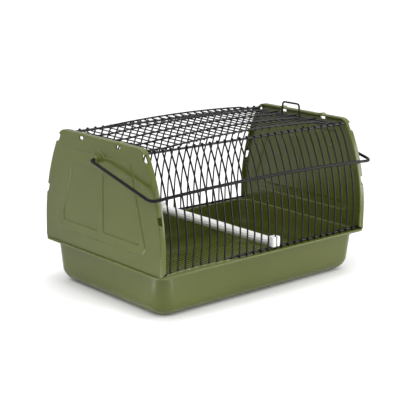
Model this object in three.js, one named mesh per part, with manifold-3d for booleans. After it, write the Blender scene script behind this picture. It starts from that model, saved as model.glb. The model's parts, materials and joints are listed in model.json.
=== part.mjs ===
// Small carrier for birds and other small animals: a deep moulded tray, two moulded end panels that
// carry a wire cage, an arched wire lid hinged at its left end, a swinging wire bail and a perch.
// Millimetres. +X runs along the length, +Y to the back, +Z up, z = 0 is the tray's underside.
import * as THREE from 'three';
import { mergeVertices } from 'three/addons/utils/BufferGeometryUtils.js';
import Module from 'manifold-3d';

const wasm = await Module();
wasm.setup();

// ---- driving dimensions ----------------------------------------------------------------------
const GAP = 0.3;                    // clearance between pieces that touch

const PANEL_SPAN = 300;             // over the outer faces of the two end panels
const RIM_Z = 49;                   // top of the tray's rim above the table
const RIM_HALF_X = 152;
const RIM_HALF_Y = 101;
const RIM_DROP = 2.4;               // height of the rim's outer face
const RIM_CORNER = 9;
const RIM_THICK = 2;                // of the rim's level top
const SKIRT_THICK = 1.4;            // of the rim's hanging outer edge
const RIM_EDGE = 0.8;               // rounding of the rim's two top edges
const SKIRT_EDGE = 0.4;             // rounding of the skirt's lower edge
const TRAY_WALL = 2.2;
const TRAY_TOP_INSET = 7;           // from the rim's outer face to the wall, at the top
const TRAY_TAPER = 4;               // how far the wall leans in on its way down
const TRAY_CORNER = 17;             // vertical corners
const TRAY_FILLET = 15;             // wall to floor
const FILLET_STEPS = 5;
const CORNER_STEPS = 6;
const FOOT_RING = 0.8;              // the floor's recess inside the ring that it stands on
const FOOT_WIDTH = 5;               // width of that ring

const PANEL_Z = RIM_Z + GAP;        // lower edge of the end panels and of the grilles
const PANEL_HEIGHT = 123.5;
const PANEL_HALF_Y = 99.3;
const PANEL_THICK = 2;
const FLANGE_WIDTH = 7;
const FLANGE_THICK = 2;
const LEAN_START = 18;              // the panel's edges are upright to here
const LEAN_RADIUS = 200;            // then they lean in along this arc
const SHOULDER_RADIUS = 12;
const RELIEF = 0.6;                 // height of the moulded fields on the panels

const BAR_RADIUS = 0.9;
const BAR_PITCH = 10.35;
const BARS = 27;
const BAR_INSET = 2.6;              // bar centre inside the panel's outline
const BAR_SIDES = 5;
const RAIL_RADIUS = 1.25;           // shoulder and base wires
const RAIL_IN = 0.6;                // the shoulder wire lies inside the bars' tops by this much
const RAIL_UP = 2;                  // and this far above the end of their arc
const BAR_HOOK = 0.4;               // each bar ends this far in from the shoulder wire and above it
const RAIL_END_X = PANEL_SPAN / 2 - FLANGE_WIDTH - GAP;
const BASE_END_X = PANEL_SPAN / 2 - PANEL_THICK - GAP;

const LID_HALF_Y = 62;
const LID_CROWN_Z = PANEL_Z + 125;
const LID_END_Z = PANEL_Z + 119.3;  // the lid's ends lie this high
const LID_FLAT_HALF = 86;           // half length of the lid's raised middle
const LID_DIP_X = 121;              // the runners have come down to their ends here
const LID_END_X = 136.2;
const LID_RUNNERS = 5;              // wires along X
const LID_WIRE = 0.95;
const ROD_RADIUS = 1.25;
const HINGE_X = -138.2;             // the left rod, which the lid turns on
const HINGE_Z = PANEL_Z + 119.6;
const REST_ROD_X = 135.2;           // the right rod, which the lid's free end lies on
const REST_ROD_Z = LID_END_Z - LID_WIRE - ROD_RADIUS - GAP;
const EYE_Y = 37;
const EYE_WIRE = 0.9;
const EYE_BEND = 3.3;
const EYE_TAIL = 9;                 // length of the eye's tail under the lid, from the lid's end
const LOOP_X = 126.7;
const LOOP_HALF_Y = 13;
const LOOP_HEIGHT = 17;
const LOOP_WIRE = 1.1;
const LOOP_BEND = 3.2;
const LOOP_SPLAY = 1.5;             // how far each foot stands out from the loop's corner

const PIVOT_Z = PANEL_Z + 102;
const BOSS_RADIUS = 4.6;
const BOSS_LENGTH = 7;
const BOSS_BORE = 1.9;
const BAIL_WIRE = 1.7;
const BAIL_ARM_X = 160.5;
const BAIL_REACH = 99.6;            // pivot to the middle of the crossbar's ends
const BAIL_REST_DEG = 14.2;         // below level, to the front
const BAIL_BOW = 4.5;               // the crossbar's middle stands this far above its ends
const BAIL_CORNER = 7;              // bends at the crossbar's ends
const BAIL_EYE_BEND = 2.7;          // bends beside the panels, where the arms turn in
const BAIL_PIN_IN = 1;              // how far the pins reach into the panels' thickness

const PERCH_X = BAR_PITCH;          // the perch grips the bars next to the middle ones
const PERCH_Z = PANEL_Z + 6.3;
const PERCH_RADIUS = 5.2;
const PERCH_FLUTES = 12;
const FLUTE_DEPTH = 0.45;
const CLIP_HALF_X = 5.2;
const CLIP_LOW = 2.9;               // clip's underside, above the base wire
const CLIP_HIGH = 13.5;
const CLIP_INNER_Y = 90.5;
const CLIP_OUTER_Y = 98.9;

// ---- helpers -----------------------------------------------------------------------------------
const colours = {
  olive: { color: 0x6b7748, roughness: 0.42, metalness: 0 },
  wire: { color: 0x1b1b1c, roughness: 0.38, metalness: 0.25 },
  white: { color: 0xe9e9e6, roughness: 0.45, metalness: 0 },
};
const materials = Object.fromEntries(Object.entries(colours).map(
  ([name, look]) => [name, new THREE.MeshStandardMaterial({ name, ...look })]));

const crate = new THREE.Group();

function solid(geometry) {
  const plain = geometry.clone();
  plain.deleteAttribute('normal');
  plain.deleteAttribute('uv');
  const merged = mergeVertices(plain, 1e-4);
  const mesh = new wasm.Mesh({
    numProp: 3,
    vertProperties: new Float32Array(merged.attributes.position.array),
    triVerts: new Uint32Array(merged.index.array),
  });
  return new wasm.Manifold(mesh);
}

function geometryOf(manifold) {
  const mesh = manifold.getMesh();
  const geometry = new THREE.BufferGeometry();
  geometry.setAttribute('position', new THREE.BufferAttribute(mesh.vertProperties, 3));
  geometry.setIndex(new THREE.BufferAttribute(mesh.triVerts, 1));
  geometry.computeVertexNormals();
  return geometry;
}

function addPiece(name, shape, look) {
  const geometry = shape.isBufferGeometry ? shape : geometryOf(shape);
  const mesh = new THREE.Mesh(geometry, materials[look]);
  mesh.name = name;
  crate.add(mesh);
  return mesh;
}

const degrees = (angle) => THREE.MathUtils.degToRad(angle);
const joined = (list) => list.reduce((sum, item) => sum.add(item));

function box(lowX, highX, lowY, highY, lowZ, highZ) {
  const geometry = new THREE.BoxGeometry(highX - lowX, highY - lowY, highZ - lowZ);
  geometry.translate((lowX + highX) / 2, (lowY + highY) / 2, (lowZ + highZ) / 2);
  return solid(geometry);
}

// A cylinder along X between two values of x.
function barrelX(radius, lowX, highX, y, z, sides = 24) {
  const geometry = new THREE.CylinderGeometry(radius, radius, highX - lowX, sides);
  geometry.rotateZ(Math.PI / 2);
  geometry.translate((lowX + highX) / 2, y, z);
  return solid(geometry);
}

// A polyline that ExtrudeGeometry follows from corner to corner, so that no bend is cut short.
class BentWire extends THREE.Curve {
  constructor(points) {
    super();
    this.points = points;
  }
  getPoint(t) {
    const place = t * (this.points.length - 1);
    const low = Math.min(Math.floor(place + 1e-9), this.points.length - 2);
    return this.points[low].clone().lerp(this.points[low + 1], place - low);
  }
  getPointAt(t) {
    return this.getPoint(t);
  }
  getTangentAt(t) {
    const place = Math.round(t * (this.points.length - 1));
    const before = this.points[Math.max(place - 1, 0)];
    const after = this.points[Math.min(place + 1, this.points.length - 1)];
    return after.clone().sub(before).normalize();
  }
}

function wire(points, radius, sides = 6) {
  const section = new THREE.Shape();
  for (let i = 0; i < sides; i += 1) {
    const turn = (2 * Math.PI * (i + 0.5)) / sides;
    const place = [radius * Math.cos(turn), radius * Math.sin(turn)];
    if (i === 0) section.moveTo(...place);
    else section.lineTo(...place);
  }
  section.closePath();
  const geometry = new THREE.ExtrudeGeometry(section, {
    steps: points.length - 1,
    extrudePath: new BentWire(points),
  });
  return solid(geometry);
}

// Points on an arc in the plane of the unit vectors u and v, from one angle to another in degrees.
function arc(centre, u, v, radius, fromDeg, toDeg, steps) {
  const points = [];
  for (let i = 0; i <= steps; i += 1) {
    const angle = degrees(fromDeg + ((toDeg - fromDeg) * i) / steps);
    points.push(centre.clone()
      .addScaledVector(u, radius * Math.cos(angle))
      .addScaledVector(v, radius * Math.sin(angle)));
  }
  return points;
}

const V = (x, y, z) => new THREE.Vector3(x, y, z);
const X_AXIS = V(1, 0, 0);
const Y_AXIS = V(0, 1, 0);
const Z_AXIS = V(0, 0, 1);

// Replaces the corner between two straight stretches of a wire by a round bend.
function bend(before, corner, after, radius, steps = 4) {
  const inward = before.clone().sub(corner).normalize();
  const outward = after.clone().sub(corner).normalize();
  const half = inward.angleTo(outward) / 2;
  const run = radius / Math.tan(half);
  const start = corner.clone().addScaledVector(inward, run);
  const middle = inward.clone().add(outward).normalize();
  const centre = corner.clone().addScaledVector(middle, radius / Math.sin(half));
  const u = start.clone().sub(centre).normalize();
  const v = inward.clone().negate();
  const sweep = 180 - THREE.MathUtils.radToDeg(2 * half);
  return arc(centre, u, v, radius, 0, sweep, steps);
}

// ---- tray --------------------------------------------------------------------------------------
function ringPoints(halfX, halfY, radius) {
  const points = [];
  const corners = [[1, 1, 0], [-1, 1, 90], [-1, -1, 180], [1, -1, 270]];
  for (const [signX, signY, start] of corners) {
    const centre = V(signX * (halfX - radius), signY * (halfY - radius), 0);
    points.push(...arc(centre, X_AXIS, Y_AXIS, radius, start, start + 90, CORNER_STEPS));
  }
  return points;
}

// Skins a list of rounded rectangles, from the middle of the underside to the middle of the floor.
function loft(rings) {
  const loops = rings.map(({ halfX, halfY, radius, z }) =>
    ringPoints(halfX, halfY, radius).map((p) => [p.x, p.y, z]));
  const count = loops[0].length;
  const positions = [[0, 0, rings[0].z], ...loops.flat(), [0, 0, rings.at(-1).z]];
  const index = [];
  for (let i = 0; i < count; i += 1) {
    const next = (i + 1) % count;
    index.push(0, 1 + next, 1 + i);
    for (let k = 0; k < loops.length - 1; k += 1) {
      const a = 1 + k * count;
      const b = a + count;
      index.push(a + i, a + next, b + next, a + i, b + next, b + i);
    }
    const last = 1 + (loops.length - 1) * count;
    index.push(last + i, last + next, positions.length - 1);
  }
  const geometry = new THREE.BufferGeometry();
  geometry.setAttribute('position', new THREE.Float32BufferAttribute(positions.flat(), 3));
  geometry.setIndex(index);
  return geometry;
}

// The wall's half sizes at a height, measured on its outer face.
function trayRing(z, inset, cornerInset = inset) {
  const lean = TRAY_TOP_INSET + TRAY_TAPER * (1 - z / RIM_Z) + inset;
  return {
    halfX: RIM_HALF_X - lean,
    halfY: RIM_HALF_Y - lean,
    radius: TRAY_CORNER - cornerInset,
    z,
  };
}

// The round from the floor up to the wall. The vertical corners tighten a little on the way down.
function filletRings(floorZ, inset, radius) {
  const tighten = 0.6;
  const tightest = 4;
  const rings = [];
  for (let i = 0; i <= FILLET_STEPS; i += 1) {
    const angle = (Math.PI / 2) * (1 - i / FILLET_STEPS);
    const z = floorZ + radius * (1 - Math.sin(angle));
    const ring = trayRing(z, inset);
    const pull = radius * (1 - Math.cos(angle));
    ring.halfX -= pull;
    ring.halfY -= pull;
    ring.radius = Math.max(ring.radius - pull * tighten, tightest);
    rings.push(ring);
  }
  return rings;
}

function rimRing(z, inset) {
  return {
    halfX: RIM_HALF_X - inset,
    halfY: RIM_HALF_Y - inset,
    radius: RIM_CORNER - inset,
    z,
  };
}

function makeTray() {
  const skirtZ = RIM_Z - RIM_DROP;
  const outside = filletRings(0, 0, TRAY_FILLET);
  const stand = outside[0];
  const shrunk = (by, z) => ({ ...stand, halfX: stand.halfX - by, halfY: stand.halfY - by, z });
  const rings = [
    shrunk(FOOT_WIDTH + FOOT_RING, FOOT_RING),
    shrunk(FOOT_WIDTH, 0),
    ...outside,
    trayRing(RIM_Z - RIM_THICK, 0),
    rimRing(RIM_Z - RIM_THICK, SKIRT_THICK),
    rimRing(skirtZ, SKIRT_THICK),
    rimRing(skirtZ, SKIRT_EDGE),
    rimRing(skirtZ + SKIRT_EDGE, 0),
    rimRing(RIM_Z - RIM_EDGE, 0),
    rimRing(RIM_Z, RIM_EDGE),
    trayRing(RIM_Z, TRAY_WALL - RIM_EDGE),
    trayRing(RIM_Z - RIM_EDGE, TRAY_WALL),
    ...filletRings(TRAY_WALL, TRAY_WALL, TRAY_FILLET - TRAY_WALL).reverse(),
  ];
  return loft(rings);
}

addPiece('base_tray', makeTray(), 'olive');

// ---- end panels --------------------------------------------------------------------------------
// The end panel's outline, set in by a distance, as points in the (y, z) plane from the lower front
// corner over the top to the lower back corner.
const LEAN_CENTRE_Y = PANEL_HALF_Y - LEAN_RADIUS;

function leanPoint(inset, angleDeg) {
  const angle = degrees(angleDeg);
  return {
    y: LEAN_CENTRE_Y + (LEAN_RADIUS - inset) * Math.cos(angle),
    z: PANEL_Z + LEAN_START + (LEAN_RADIUS - inset) * Math.sin(angle),
  };
}

const SHOULDER_Z = PANEL_Z + PANEL_HEIGHT - SHOULDER_RADIUS;
const SHOULDER_SINE = (PANEL_HEIGHT - SHOULDER_RADIUS - LEAN_START) / (LEAN_RADIUS - SHOULDER_RADIUS);
const SHOULDER_DEG = THREE.MathUtils.radToDeg(Math.asin(SHOULDER_SINE));
const SHOULDER_Y = LEAN_CENTRE_Y + Math.sqrt((LEAN_RADIUS - SHOULDER_RADIUS) ** 2
  - (PANEL_HEIGHT - SHOULDER_RADIUS - LEAN_START) ** 2);

function halfOutline(inset) {
  const leanSteps = 6;
  const shoulderSteps = 4;
  const points = [{ y: PANEL_HALF_Y - inset, z: PANEL_Z }];
  for (let i = 0; i <= leanSteps; i += 1) {
    points.push(leanPoint(inset, (SHOULDER_DEG * i) / leanSteps));
  }
  for (let i = 1; i <= shoulderSteps; i += 1) {
    const angle = degrees(SHOULDER_DEG + ((90 - SHOULDER_DEG) * i) / shoulderSteps);
    const radius = SHOULDER_RADIUS - inset;
    points.push({
      y: SHOULDER_Y + radius * Math.cos(angle),
      z: SHOULDER_Z + radius * Math.sin(angle),
    });
  }
  return points;
}

// A flat blank in the YZ plane, extruded along X from x = 0.
function blank(points, thickness) {
  const shape = new THREE.Shape(points.map(({ y, z }) => new THREE.Vector2(y, z)));
  const geometry = new THREE.ExtrudeGeometry(shape, { depth: thickness, bevelEnabled: false });
  geometry.rotateZ(Math.PI / 2);
  geometry.rotateY(Math.PI / 2);
  return solid(geometry);
}

function panelBlank(inset, thickness) {
  const back = halfOutline(inset);
  const front = back.map(({ y, z }) => ({ y: -y, z })).reverse();
  return blank([...back, ...front], thickness);
}

// A raised field or window with four corners given as (y, height above the panel's lower edge).
function field(corners, thickness) {
  return blank(corners.map(([y, up]) => ({ y, z: PANEL_Z + up })), thickness);
}

const FIELD = [[74, 16], [80, 24], [51.5, 105.5], [-51.5, 105.5], [-76, 24], [-70, 16]];
const WINDOW_BACK = [[4, 26], [64, 26], [64, 36], [46, 91], [4, 91]];
const WINDOW_FRONT = [[-66, 26], [-6, 26], [-6, 89], [-47, 89], [-66, 36]];

// Openings of the moulded snap hooks. Notches in the upright edges reach from the outer face along
// the flange. Each hole along the top has a low round bump over it.
const SNAP_NOTCHES = [
  { low: 110, high: 118.5, depth: 4.6, reach: 3.5 },
  { low: 51, high: 59.5, depth: 3.6, reach: 5.5 },
];
const SNAP_HOLE_Y = 32;
const SNAP_HOLE_HALF = 3.5;
const SNAP_HOLE_LOW = 117.6;
const SNAP_HOLE_REACH = 3.5;
const SNAP_BUMP_RADIUS = 7;
const SNAP_BUMP_RISE = 1.3;
const CUT_PAST = 1;                 // how far a cutting body reaches past the face that it opens

// The outline's distance from the middle at a height on its leaning part.
function outlineY(z) {
  const up = Math.max(z - PANEL_Z - LEAN_START, 0);
  return LEAN_CENTRE_Y + Math.sqrt(LEAN_RADIUS ** 2 - up ** 2);
}

// The plate and its flange, with the outer face at x = 0 and the flange reaching to +X. The flange
// runs up both sides and over the top; the lower edge has none.
function makeShell() {
  const hollow = panelBlank(FLANGE_THICK, FLANGE_WIDTH).translate([PANEL_THICK, 0, 0]);
  const innerY = PANEL_HALF_Y - FLANGE_THICK;
  const open = box(PANEL_THICK, FLANGE_WIDTH + CUT_PAST, -innerY, innerY,
    PANEL_Z - CUT_PAST, PANEL_Z + CUT_PAST);
  return panelBlank(0, FLANGE_WIDTH).subtract(hollow).subtract(open);
}

function snapNotch({ low, high, depth, reach }, side) {
  const edge = outlineY(PANEL_Z + (low + high) / 2);
  const ends = [side * (edge - depth), side * (edge + depth)];
  return box(-CUT_PAST, reach, Math.min(...ends), Math.max(...ends), PANEL_Z + low, PANEL_Z + high);
}

function snapBump(side) {
  const top = PANEL_Z + PANEL_HEIGHT;
  const barrel = barrelX(SNAP_BUMP_RADIUS, 0, FLANGE_WIDTH, side * SNAP_HOLE_Y,
    top + SNAP_BUMP_RISE - SNAP_BUMP_RADIUS);
  const below = box(-CUT_PAST, FLANGE_WIDTH + CUT_PAST, -PANEL_HALF_Y, PANEL_HALF_Y, PANEL_Z,
    top - FLANGE_THICK / 2);
  return barrel.subtract(below);
}

function snapHole(side) {
  const middle = side * SNAP_HOLE_Y;
  return box(-CUT_PAST, SNAP_HOLE_REACH, middle - SNAP_HOLE_HALF, middle + SNAP_HOLE_HALF,
    PANEL_Z + SNAP_HOLE_LOW, PANEL_Z + PANEL_HEIGHT - FLANGE_THICK - GAP);
}

function makePanel() {
  let panel = makeShell().add(field(FIELD, 2 * RELIEF).translate([-RELIEF, 0, 0]));
  for (const window of [WINDOW_BACK, WINDOW_FRONT]) {
    panel = panel.subtract(field(window, 2 * RELIEF).translate([-2 * RELIEF, 0, 0]));
  }
  for (const side of [-1, 1]) {
    for (const notch of SNAP_NOTCHES) {
      panel = panel.subtract(snapNotch(notch, side));
    }
    panel = panel.add(snapBump(side)).subtract(snapHole(side));
  }
  panel = panel.add(barrelX(BOSS_RADIUS, -BOSS_LENGTH, PANEL_THICK / 2, 0, PIVOT_Z));
  return panel.subtract(barrelX(BOSS_BORE, -BOSS_LENGTH - CUT_PAST, FLANGE_WIDTH, 0, PIVOT_Z, 16));
}

for (const [name, side] of [['left_end_panel', -1], ['right_end_panel', 1]]) {
  let panel = makePanel().translate([-PANEL_SPAN / 2, 0, 0]);
  if (side > 0) panel = panel.mirror([1, 0, 0]);
  addPiece(name, panel, 'olive');
}

// ---- wire grilles ------------------------------------------------------------------------------
const BAR_TOP = leanPoint(BAR_INSET, SHOULDER_DEG);
const RAIL_Y = BAR_TOP.y - RAIL_IN;
const RAIL_Z = BAR_TOP.z + RAIL_UP;
const BASE_WIRE_Y = PANEL_HALF_Y - BAR_INSET - BAR_RADIUS - RAIL_RADIUS - GAP;
const BASE_WIRE_Z = PANEL_Z + RAIL_RADIUS;

function barPoints(x, side) {
  const points = [V(x, side * (PANEL_HALF_Y - BAR_INSET), PANEL_Z)];
  const leanSteps = 5;
  for (let i = 0; i <= leanSteps; i += 1) {
    const { y, z } = leanPoint(BAR_INSET, (SHOULDER_DEG * i) / leanSteps);
    points.push(V(x, side * y, z));
  }
  points.push(V(x, side * (RAIL_Y - BAR_HOOK), RAIL_Z + BAR_HOOK));
  return points;
}

function makeGrille(side) {
  const bars = [];
  for (let i = 0; i < BARS; i += 1) {
    bars.push(wire(barPoints((i - (BARS - 1) / 2) * BAR_PITCH, side), BAR_RADIUS, BAR_SIDES));
  }
  const railEnds = [-1, 1].map((end) => V(end * RAIL_END_X, side * RAIL_Y, RAIL_Z));
  return joined([wire(railEnds, RAIL_RADIUS), ...bars]);
}

for (const [word, side] of [['front', -1], ['back', 1]]) {
  addPiece(`${word}_grille`, makeGrille(side), 'wire');
  const base = [-1, 1].map((end) => V(end * BASE_END_X, side * BASE_WIRE_Y, BASE_WIRE_Z));
  addPiece(`${word}_base_wire`, wire(base, RAIL_RADIUS), 'wire');
}

// ---- end rods of the wire cage, between the two shoulder wires ---------------------------------
const ROD_HALF_Y = RAIL_Y - RAIL_RADIUS - GAP;
function makeRod(x, z) {
  return wire([V(x, -ROD_HALF_Y, z), V(x, ROD_HALF_Y, z)], ROD_RADIUS, 8);
}

addPiece('lid_hinge_rod', makeRod(HINGE_X, HINGE_Z), 'wire');
addPiece('lid_rest_rod', makeRod(REST_ROD_X, REST_ROD_Z), 'wire');

// ---- lid ---------------------------------------------------------------------------------------
// The runners are level along the raised middle, dip on a smooth S and end level again.
function lidHeight(x) {
  const past = THREE.MathUtils.clamp((Math.abs(x) - LID_FLAT_HALF) / (LID_DIP_X - LID_FLAT_HALF), 0, 1);
  return LID_CROWN_Z - (LID_CROWN_Z - LID_END_Z) * (1 - Math.cos(Math.PI * past)) / 2;
}

function runnerPoints(y) {
  const dips = [0, 0.25, 0.5, 0.75, 1].map((t) => LID_FLAT_HALF + (LID_DIP_X - LID_FLAT_HALF) * t);
  const half = [...dips, LID_END_X];
  const places = [...half.map((x) => -x).reverse(), ...half];
  return places.map((x) => V(x, y, lidHeight(x)));
}

function makeLid() {
  const wires = [];
  for (let i = 0; i < LID_RUNNERS; i += 1) {
    wires.push(wire(runnerPoints(-LID_HALF_Y + (2 * LID_HALF_Y * i) / (LID_RUNNERS - 1)), LID_WIRE));
  }
  const crossWires = 2 * Math.floor(LID_END_X / BAR_PITCH) + 1;
  for (let i = 0; i < crossWires; i += 1) {
    const x = (i - (crossWires - 1) / 2) * BAR_PITCH;
    const z = lidHeight(x) + LID_WIRE;
    const ends = [-1, 1].map((side) => V(x, side * (LID_HALF_Y + LID_WIRE), z));
    wires.push(wire(ends, LID_WIRE, BAR_SIDES));
  }
  return joined(wires);
}

addPiece('lid_mesh', makeLid(), 'wire');

// Two eyes curled round the left rod carry the lid. Each is open at one side, like a bent hook.
function makeEye(y) {
  const curl = arc(V(HINGE_X, y, HINGE_Z), X_AXIS, Z_AXIS, EYE_BEND, 50, 290, 10);
  const tailX = LID_END_X - EYE_TAIL;
  const tail = V(-tailX, y, lidHeight(tailX) - EYE_WIRE - 2 * GAP);
  return wire([...curl, tail], EYE_WIRE);
}

addPiece('lid_hinge_eye_front', makeEye(-EYE_Y), 'wire');
addPiece('lid_hinge_eye_back', makeEye(EYE_Y), 'wire');

// The finger loop stands on the lid's free end as an upright U, its feet between two runners.
function makeLoop() {
  const foot = lidHeight(LOOP_X) - LID_WIRE - LOOP_WIRE - GAP;
  const top = LOOP_HEIGHT + foot;
  const corners = [-1, 1].map((side) => V(LOOP_X, side * LOOP_HALF_Y, top));
  const feet = [-1, 1].map((side) => V(LOOP_X, side * (LOOP_HALF_Y + LOOP_SPLAY), foot));
  return wire([
    feet[0],
    ...bend(feet[0], corners[0], corners[1], LOOP_BEND),
    ...bend(corners[0], corners[1], feet[1], LOOP_BEND),
    feet[1],
  ], LOOP_WIRE);
}

addPiece('lid_finger_loop', makeLoop(), 'wire');

// ---- carry bail --------------------------------------------------------------------------------
function makeBail() {
  const rest = degrees(BAIL_REST_DEG);
  const along = V(0, -Math.cos(rest), -Math.sin(rest));
  const across = V(0, -Math.sin(rest), Math.cos(rest));
  const pinEnd = PANEL_SPAN / 2 - BAIL_PIN_IN;
  const at = (x, reach, rise) => V(x, 0, PIVOT_Z)
    .addScaledVector(along, reach).addScaledVector(across, rise);
  const bow = [];
  const bowSteps = 12;
  const bowHalf = BAIL_ARM_X - BAIL_CORNER - GAP;
  for (let i = 0; i <= bowSteps; i += 1) {
    const t = -1 + (2 * i) / bowSteps;
    bow.push(at(t * bowHalf, BAIL_REACH, BAIL_BOW * (1 - t * t)));
  }
  const [leftKnee, rightKnee] = [-1, 1].map((side) => at(side * BAIL_ARM_X, BAIL_REACH, 0));
  const [leftEye, rightEye] = [-1, 1].map((side) => at(side * BAIL_ARM_X, 0, 0));
  return wire([
    at(-pinEnd, 0, 0),
    ...bend(at(-pinEnd, 0, 0), leftEye, leftKnee, BAIL_EYE_BEND),
    ...bend(leftEye, leftKnee, bow[0], BAIL_CORNER),
    ...bow.slice(1, -1),
    ...bend(bow.at(-1), rightKnee, rightEye, BAIL_CORNER),
    ...bend(rightKnee, rightEye, at(pinEnd, 0, 0), BAIL_EYE_BEND),
    at(pinEnd, 0, 0),
  ], BAIL_WIRE, 8);
}

addPiece('carry_bail', makeBail(), 'wire');

// ---- perch -------------------------------------------------------------------------------------
// A fluted bar across the cage. Its end clips rest on the base wires and take a grille bar each in
// an open slot.
const PERCH_END = CLIP_INNER_Y - GAP;

function makePerch() {
  const section = new THREE.Shape();
  const points = PERCH_FLUTES * 2;
  for (let i = 0; i < points; i += 1) {
    const angle = (2 * Math.PI * i) / points;
    const radius = PERCH_RADIUS - (i % 2) * FLUTE_DEPTH;
    const place = [radius * Math.cos(angle), radius * Math.sin(angle)];
    if (i === 0) section.moveTo(...place);
    else section.lineTo(...place);
  }
  section.closePath();
  const length = 2 * PERCH_END;
  const geometry = new THREE.ExtrudeGeometry(section, { depth: length, bevelEnabled: false });
  geometry.rotateX(-Math.PI / 2);
  geometry.translate(PERCH_X, -PERCH_END, PERCH_Z);
  return solid(geometry);
}

function makeClip(side) {
  const bottom = PANEL_Z + CLIP_LOW;
  const top = PANEL_Z + CLIP_HIGH;
  const bodyEnds = [side * CLIP_INNER_Y, side * CLIP_OUTER_Y];
  const body = box(PERCH_X - CLIP_HALF_X, PERCH_X + CLIP_HALF_X,
    Math.min(...bodyEnds), Math.max(...bodyEnds), bottom, top);
  const slotHalf = BAR_RADIUS + GAP;
  const barY = PANEL_HALF_Y - BAR_INSET;
  const slotEnds = [side * (barY - slotHalf), side * (CLIP_OUTER_Y + slotHalf)];
  const slot = box(PERCH_X - slotHalf, PERCH_X + slotHalf,
    Math.min(...slotEnds), Math.max(...slotEnds), bottom - slotHalf, top + slotHalf);
  return body.subtract(slot);
}

addPiece('perch_bar', makePerch(), 'white');
addPiece('perch_clip_front', makeClip(-1), 'white');
addPiece('perch_clip_back', makeClip(1), 'white');

export default crate;
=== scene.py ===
import json
import math

import bmesh
import bpy
import numpy as np
from mathutils import Matrix, Quaternion, Vector


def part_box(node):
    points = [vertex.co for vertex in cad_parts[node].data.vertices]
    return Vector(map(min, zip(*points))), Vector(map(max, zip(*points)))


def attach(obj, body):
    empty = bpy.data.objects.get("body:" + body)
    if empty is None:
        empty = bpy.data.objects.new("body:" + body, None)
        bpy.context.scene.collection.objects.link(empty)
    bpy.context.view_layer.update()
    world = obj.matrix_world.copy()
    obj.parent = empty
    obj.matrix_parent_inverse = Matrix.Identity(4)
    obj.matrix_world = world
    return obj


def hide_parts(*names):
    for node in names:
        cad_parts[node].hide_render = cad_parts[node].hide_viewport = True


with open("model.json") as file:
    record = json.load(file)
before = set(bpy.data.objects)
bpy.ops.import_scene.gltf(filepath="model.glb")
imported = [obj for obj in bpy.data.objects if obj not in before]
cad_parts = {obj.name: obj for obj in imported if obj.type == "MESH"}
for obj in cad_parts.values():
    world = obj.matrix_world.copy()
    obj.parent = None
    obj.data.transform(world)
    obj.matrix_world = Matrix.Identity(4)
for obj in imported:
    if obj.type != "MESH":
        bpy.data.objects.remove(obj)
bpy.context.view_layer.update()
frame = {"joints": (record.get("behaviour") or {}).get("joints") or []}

MM = 0.001
X, Y, Z = Vector((1, 0, 0)), Vector((0, 1, 0)), Vector((0, 0, 1))


# ---- places and sizes --------------------------------------------------------------------------
def box_mm(node):
    """A CAD node's lowest and highest corners in millimetres."""
    low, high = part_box(node)
    return Vector(low) / MM, Vector(high) / MM


tray_high = box_mm("base_tray")[1]
panel_low, panel_high = box_mm("left_end_panel")
grille_high = box_mm("front_grille")[1]
base_wire_low, base_wire_high = box_mm("front_base_wire")
lid_high = box_mm("lid_mesh")[1]
loop_low, loop_high = box_mm("lid_finger_loop")
hinge_low, hinge_high = box_mm("lid_hinge_rod")
rest_low, rest_high = box_mm("lid_rest_rod")
bail_high = box_mm("carry_bail")[1]
perch_low, perch_high = box_mm("perch_bar")
joints = {joint["name"]: joint for joint in frame["joints"]}

# Tray
RIM_Z = tray_high.z
RIM_HALF_X = tray_high.x
RIM_HALF_Y = tray_high.y
RIM_DROP = 2.4
RIM_CORNER = 9.0
RIM_THICK = 2.0
TRAY_WALL = 2.2
TRAY_TOP_INSET = 7.0
TRAY_TAPER = 4.0
TRAY_CORNER = 17.0
TRAY_FILLET = 15.0
FOOT_WIDTH = 5.0
FOOT_RISE = 0.8

# End panels
PANEL_Z = panel_low.z
PANEL_FACE_X = 150.0
PANEL_HALF_Y = panel_high.y
PANEL_HEIGHT = 123.5
PANEL_THICK = 2.0
FLANGE_WIDTH = 7.0
FLANGE_THICK = 2.0
LEAN_START = 18.0
LEAN_RADIUS = 200.0
SHOULDER_RADIUS = 12.0
RELIEF = 0.8
WINDOW_DEPTH = 1.1
PIVOT_UP = 102.0
BOSS_RADIUS = 4.6
BOSS_LENGTH = 7.0
BOSS_BORE = 1.9

# Wires
BAR_RADIUS = 0.9
BAR_PITCH = 10.35
BARS = 27
BAR_INSET = 2.6
RAIL_RADIUS = 1.25
LID_HALF_Y = 62.0
LID_WIRE = 0.95
CROSS_WIRE = 0.7
LID_RUNNERS = 5
LID_BEND_X = 102.0
LID_DIP_X = 121.0
LID_CROWN_X = 20.0
LID_ARCH = 0.00031
LID_END_X = lid_high.x
EYE_BEND = 3.3
EYE_WIRE = 0.9
LOOP_WIRE = 1.1
BAIL_WIRE = 1.7

FRONT, BACK = -1, 1


# ---- mesh helpers ------------------------------------------------------------------------------
class Shape:
    """Vertices in millimetres and faces, gathered from several closed shells."""

    def __init__(self):
        self.points = []
        self.faces = []

    def add(self, points, faces):
        start = len(self.points)
        self.points.extend(points)
        self.faces.extend([start + i for i in face] for face in faces)
        return self

    def merge(self, other):
        return self.add(other.points, other.faces)


def to_object(name, shape, smooth_angle=40.0):
    """Makes the mesh object in metres, shaded smooth but for its sharp edges."""
    mesh = bpy.data.meshes.new(name)
    mesh.from_pydata([tuple(c * MM for c in p) for p in shape.points], [], shape.faces)
    mesh.validate()
    piece = bpy.data.objects.new(name, mesh)
    bpy.context.scene.collection.objects.link(piece)
    shade(piece, smooth_angle)
    return piece


def shade(piece, smooth_angle):
    mesh = piece.data
    mesh.polygons.foreach_set("use_smooth", [True] * len(mesh.polygons))
    mesh.set_sharp_from_angle(angle=math.radians(smooth_angle))


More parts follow.
